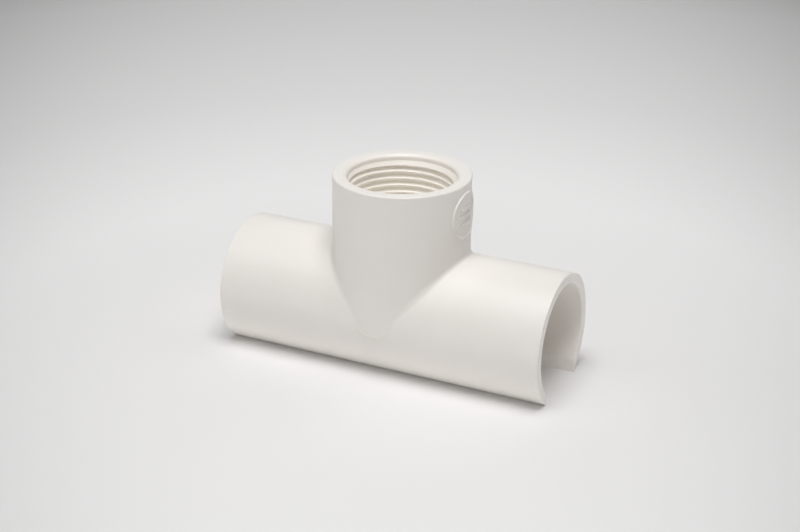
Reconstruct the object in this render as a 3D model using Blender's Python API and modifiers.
"""Clip-on saddle tee, 1 in run by 1 in female pipe-thread outlet, moulded in white PVC.

The run is a tube with a slot along its underside, so that it can be pushed sideways over a
pipe. A round outlet stands on the middle of the run and wraps down both of its flanks to just
under the level of the run's axis. The wall on each side of the slot is a jaw, which springs
outward as the pipe goes in. Each jaw is its own solid, hinged to the stiff upper body on a
line at the middle of the wall, a little under the run's axis.

Frame: X along the run, Z up the outlet, origin on the ground under the middle of the run.
Metres. The front is -Y. The lips of the jaws stand on Z = 0.
"""

import math

import bmesh
import bpy
from mathutils import Vector

# ---------------------------------------------------------------- run
RUN_RADIUS = 0.01996
BORE_RADIUS = 0.01675    # 33.4 mm pipe plus a little
HALF_LENGTH = 0.05233
SLOT_HALF = 0.01162      # half the width of the slot along the bottom
AXIS_Z = math.sqrt(RUN_RADIUS ** 2 - SLOT_HALF ** 2)   # height of the run's axis over the lips

# ---------------------------------------------------------------- outlet, heights from the axis
HUB_RADIUS = 0.0207
HUB_TOP = 0.04303        # the rim
HUB_FOOT = -0.0010       # where the skirt ends on the flanks
WATERWAY_RADIUS = 0.0136   # plain bore between the thread and the run
WATERWAY_OVERLAP = 0.001   # how far the plain bore runs up into the socket

# ---------------------------------------------------------------- socket, depths below the rim
SOCKET_DEPTH = 0.0193
LEAD_DEPTH = 0.00195     # flared lead-in at the mouth
LEAD_RIM_RADIUS = 0.0173
LEAD_FOOT_RADIUS = 0.01618
RING_DEPTH = 0.0033      # plain ring under the lead-in, closing on the first crest
RING_EASE = 0.00003      # how much wider the ring starts than the lead-in ends
RING_OVER_TOP = 0.0003   # how far the ring's cutter runs above the lead-in's foot
RING_OVER_LOW = 0.0008   # and below RING_DEPTH

# ---------------------------------------------------------------- 1 in taper pipe thread
PITCH = 0.0254 / 11.5
CREST_RADIUS = 0.01535   # crest at the mouth
THREAD_HEIGHT = 0.00125
CREST_FLAT = 0.00035     # flat on each crest
FLANK_TAN = math.tan(math.radians(30.0))   # flank's slope, half the V's angle
TAPER = 1.0 / 32.0       # radius lost per unit of depth
THREAD_TOP = 0.00172     # depth at which the coil starts, in the lead-in
TURNS = 7
COIL_ROOTING = 0.00035   # how far the V's foot goes into the tap's core
COIL_TURN = math.radians(1.1)   # sets the coil's stations between the core's sides

# ---------------------------------------------------------------- flexure line
HINGE_Z = -0.0018        # from the run's axis
HINGE_GAP = 0.0004       # clearance on each side of the line
HINGE_Y = math.sqrt(((RUN_RADIUS + BORE_RADIUS) / 2) ** 2 - HINGE_Z ** 2)

# ---------------------------------------------------------------- mesh and finish
RUN_SIDES = 96
HUB_SIDES = 96
WATERWAY_SIDES = 72
TURN_STEPS = 48
WELD_DISTANCE = 0.00001
SHARP_ANGLE = math.radians(32.0)
OVER = 0.004             # how far a cutter runs past what it cuts
CUT_END_X = HALF_LENGTH + OVER
CUT_SIDE_Y = RUN_RADIUS + OVER

PVC = (0.86, 0.855, 0.83, 1.0)
BODY_ROUGHNESS = 0.34
JAW_ROUGHNESS = 0.36

# ---------------------------------------------------------------- scene
for ob in list(bpy.data.objects):
    bpy.data.objects.remove(ob, do_unlink=True)

parts = bpy.data.collections.new("clip_on_saddle_tee")
cutters = bpy.data.collections.new("cutters")
bpy.context.scene.collection.children.link(parts)
bpy.context.scene.collection.children.link(cutters)


# ---------------------------------------------------------------- helpers
def plastic(name, roughness):
    """Satin white PVC."""
    material = bpy.data.materials.new(name)
    material.use_nodes = True
    bsdf = material.node_tree.nodes["Principled BSDF"]
    bsdf.inputs["Base Color"].default_value = PVC
    bsdf.inputs["Roughness"].default_value = roughness
    bsdf.inputs["Metallic"].default_value = 0.0
    return material


def object_from(bm, name, centre=(0, 0, 0)):
    """An unlinked object that takes over a bmesh."""
    mesh = bpy.data.meshes.new(name)
    bm.to_mesh(mesh)
    bm.free()
    ob = bpy.data.objects.new(name, mesh)
    ob.location = centre
    return ob


def cone_bmesh(radius_low, radius_high, depth, sides):
    bm = bmesh.new()
    bmesh.ops.create_cone(
        bm, cap_ends=True, segments=sides, radius1=radius_low, radius2=radius_high, depth=depth)
    return bm


def along_run(name, radius, length, centre, shift=(0, 0, 0)):
    """A cylinder along X, with its mesh moved by shift from its origin."""
    bm = cone_bmesh(radius, radius, length, RUN_SIDES)
    for v in bm.verts:
        v.co = Vector((v.co.z, v.co.y, -v.co.x)) + Vector(shift)
    return object_from(bm, name, centre)


def up_outlet(name, low, high, radius_low, radius_high=None, sides=HUB_SIDES):
    """A cylinder or cone on the outlet's axis, between two heights from the run's axis."""
    if radius_high is None:
        radius_high = radius_low
    bm = cone_bmesh(radius_low, radius_high, high - low, sides)
    return object_from(bm, name, (0, 0, AXIS_Z + (low + high) / 2))


def block(name, low, high):
    """A box between two corners."""
    low, high = Vector(low), Vector(high)
    size = high - low
    bm = bmesh.new()
    bmesh.ops.create_cube(bm, size=1.0)
    for v in bm.verts:
        v.co = v.co * size.x if False else Vector(a * b for a, b in zip(v.co, size))
    return object_from(bm, name, (low + high) / 2)


def as_cutter(ob):
    cutters.objects.link(ob)
    ob.hide_render = True
    ob.display_type = "WIRE"
    return ob


def as_part(ob, roughness):
    parts.objects.link(ob)
    ob.data.materials.append(plastic("white_pvc_" + ob.name.removeprefix("saddle_"), roughness))
    return ob


def boolean(ob, other, operation):
    modifier = ob.modifiers.new(operation.lower() + "_" + other.name, "BOOLEAN")
    modifier.object = other
    modifier.operation = operation
    modifier.solver = "EXACT"


def smooth(ob):
    ob.data.shade_smooth()
    ob.data.set_sharp_from_angle(angle=SHARP_ANGLE)


# ---------------------------------------------------------------- plain blanks and cutters
bore = as_cutter(along_run("cut_run_bore", BORE_RADIUS, 2 * CUT_END_X, (0, 0, AXIS_Z)))
hub = as_cutter(up_outlet("outlet_blank", HUB_FOOT, HUB_TOP, HUB_RADIUS))
waterway = as_cutter(up_outlet(
    "cut_waterway", 0.0, HUB_TOP - SOCKET_DEPTH + WATERWAY_OVERLAP, WATERWAY_RADIUS,
    sides=WATERWAY_SIDES))

# The lead-in flares outward to the rim. The cone goes on past the rim at the same slope.
lead_slope = (LEAD_RIM_RADIUS - LEAD_FOOT_RADIUS) / LEAD_DEPTH
lead = as_cutter(up_outlet(
    "cut_lead_in", HUB_TOP - LEAD_DEPTH, HUB_TOP + OVER,
    LEAD_FOOT_RADIUS, LEAD_RIM_RADIUS + lead_slope * OVER))


def ring_radius(depth):
    """Radius of the ring's cone, eased wider so that it crosses the lead-in's cone."""
    crest = CREST_RADIUS - TAPER * RING_DEPTH
    slope = (LEAD_FOOT_RADIUS - crest) / (RING_DEPTH - LEAD_DEPTH)
    return LEAD_FOOT_RADIUS + RING_EASE - slope * (depth - LEAD_DEPTH)


# Under the lead-in a steeper cone closes in, and meets the first crest at about RING_DEPTH.
ring_top = LEAD_DEPTH - RING_OVER_TOP
ring_low = RING_DEPTH + RING_OVER_LOW
ring = as_cutter(up_outlet(
    "cut_ring", HUB_TOP - ring_low, HUB_TOP - ring_top,
    ring_radius(ring_low), ring_radius(ring_top)))

# Everything below the upper edge of the flexure gap.
under = as_cutter(block(
    "cut_below_flexure",
    (-CUT_END_X, -CUT_SIDE_Y, -OVER),
    (CUT_END_X, CUT_SIDE_Y, AXIS_Z + HINGE_Z + HINGE_GAP)))


# ---------------------------------------------------------------- tap
def screwed_mesh(name, outline):
    """A closed (radius, z) outline carried down round Z by Screw, open at both ends."""
    bm = bmesh.new()
    corners = [bm.verts.new((radius, 0.0, z)) for radius, z in outline]
    for start, end in zip(corners, corners[1:] + corners[:1]):
        bm.edges.new((start, end))
    wire = object_from(bm, name + "_outline")
    cutters.objects.link(wire)
    screw = wire.modifiers.new("screw", "SCREW")
    screw.axis = "Z"
    screw.angle = -math.tau              # clockwise going down: a right-hand thread
    screw.screw_offset = -PITCH
    screw.iterations = TURNS
    screw.steps = TURN_STEPS
    screw.render_steps = TURN_STEPS
    screw.use_merge_vertices = True
    screw.merge_threshold = WELD_DISTANCE
    bpy.context.view_layer.update()
    mesh = bpy.data.meshes.new_from_object(
        wire.evaluated_get(bpy.context.evaluated_depsgraph_get()))
    bpy.data.objects.remove(wire, do_unlink=True)
    return mesh


def thread_coil(name):
    """One coil of V thread with its ends closed, tapered. Its origin is at the rim."""
    foot = (PITCH - CREST_FLAT) / 2              # half the V's width at the crest radius
    tip = foot - THREAD_HEIGHT * FLANK_TAN       # half its width at the root radius
    wide = foot + COIL_ROOTING * FLANK_TAN       # half its width inside the core
    inner = CREST_RADIUS - COIL_ROOTING
    outer = CREST_RADIUS + THREAD_HEIGHT
    mesh = screwed_mesh(name, [(inner, -wide), (outer, -tip), (outer, tip), (inner, wide)])

    bm = bmesh.new()
    bm.from_mesh(mesh)
    bmesh.ops.holes_fill(bm, edges=[e for e in bm.edges if e.is_boundary], sides=12)
    start_z = -THREAD_TOP - foot
    for v in bm.verts:
        z = v.co.z + start_z
        radius = math.hypot(v.co.x, v.co.y)
        scale = (radius + TAPER * z) / radius
        v.co = Vector((v.co.x * scale, v.co.y * scale, z))
    bmesh.ops.recalc_face_normals(bm, faces=bm.faces)
    ob = object_from(bm, name, (0, 0, AXIS_Z + HUB_TOP))
    ob.rotation_euler = (0, 0, COIL_TURN)
    return ob


# A tapered core of the crest radius, with the coil on it.
tap = as_cutter(up_outlet(
    "cut_tap", HUB_TOP - SOCKET_DEPTH, HUB_TOP + OVER,
    CREST_RADIUS - TAPER * SOCKET_DEPTH, CREST_RADIUS + TAPER * OVER))
boolean(tap, as_cutter(thread_coil("cut_thread_coil")), "UNION")

# ---------------------------------------------------------------- stiff upper body with the outlet
saddle_body = as_part(
    along_run("saddle_body", RUN_RADIUS, 2 * HALF_LENGTH, (0, 0, AXIS_Z)), BODY_ROUGHNESS)
boolean(saddle_body, hub, "UNION")
for cutter in (bore, waterway, tap, lead, ring, under):
    boolean(saddle_body, cutter, "DIFFERENCE")
smooth(saddle_body)


# ---------------------------------------------------------------- the two jaws
def jaw(name, side):
    """The wall from the flexure line down to the lip. side is -1 in front, +1 behind.
    Its origin is on its flexure line."""
    hinge = Vector((0.0, side * HINGE_Y, AXIS_Z + HINGE_Z))
    shift = Vector((0, 0, AXIS_Z)) - hinge
    ob = as_part(
        along_run(name, RUN_RADIUS, 2 * HALF_LENGTH, hinge, shift), JAW_ROUGHNESS)
    y_low, y_high = sorted((side * SLOT_HALF, side * CUT_SIDE_Y))
    keep = as_cutter(block(
        "keep_" + name,
        (-CUT_END_X, y_low, -OVER),
        (CUT_END_X, y_high, AXIS_Z + HINGE_Z - HINGE_GAP)))
    boolean(ob, keep, "INTERSECT")
    boolean(ob, bore, "DIFFERENCE")
    smooth(ob)


jaw("front_jaw", side=-1)
jaw("rear_jaw", side=1)
